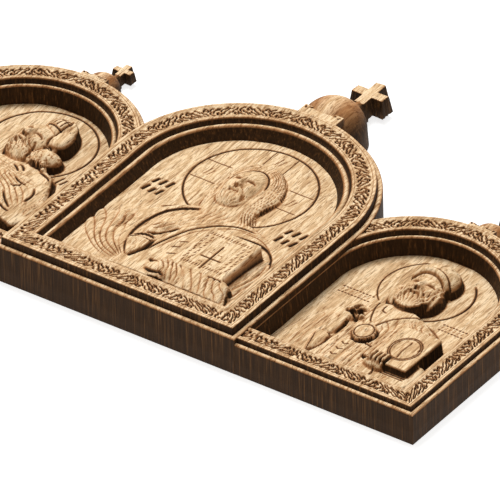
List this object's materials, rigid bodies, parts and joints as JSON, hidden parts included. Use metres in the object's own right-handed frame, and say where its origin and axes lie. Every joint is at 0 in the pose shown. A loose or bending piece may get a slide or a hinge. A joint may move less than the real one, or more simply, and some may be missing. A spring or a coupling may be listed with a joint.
{
  "type": "carved triptych icon",
  "caption": "Carved wooden triptych: arched panels with interlace borders and relief saints in deep recesses, topped by onion domes with crosses.",
  "frame": {"origin": "middle of the flat back's bounding box, on the surface that the work lies on", "axes": "+X across the three panels, to the viewer's right; +Y up the panels, towards the crosses; +Z out of the carving"},
  "size_m": [0.4184, 0.2712, 0.0306],
  "materials": {
    "wood": "light tan carved hardwood, oiled, with dark grain streaks along the panels and darker cut walls"
  },
  "bodies": {
    "root": {"carved_triptych": "wood"}
  },
  "joints": []
}
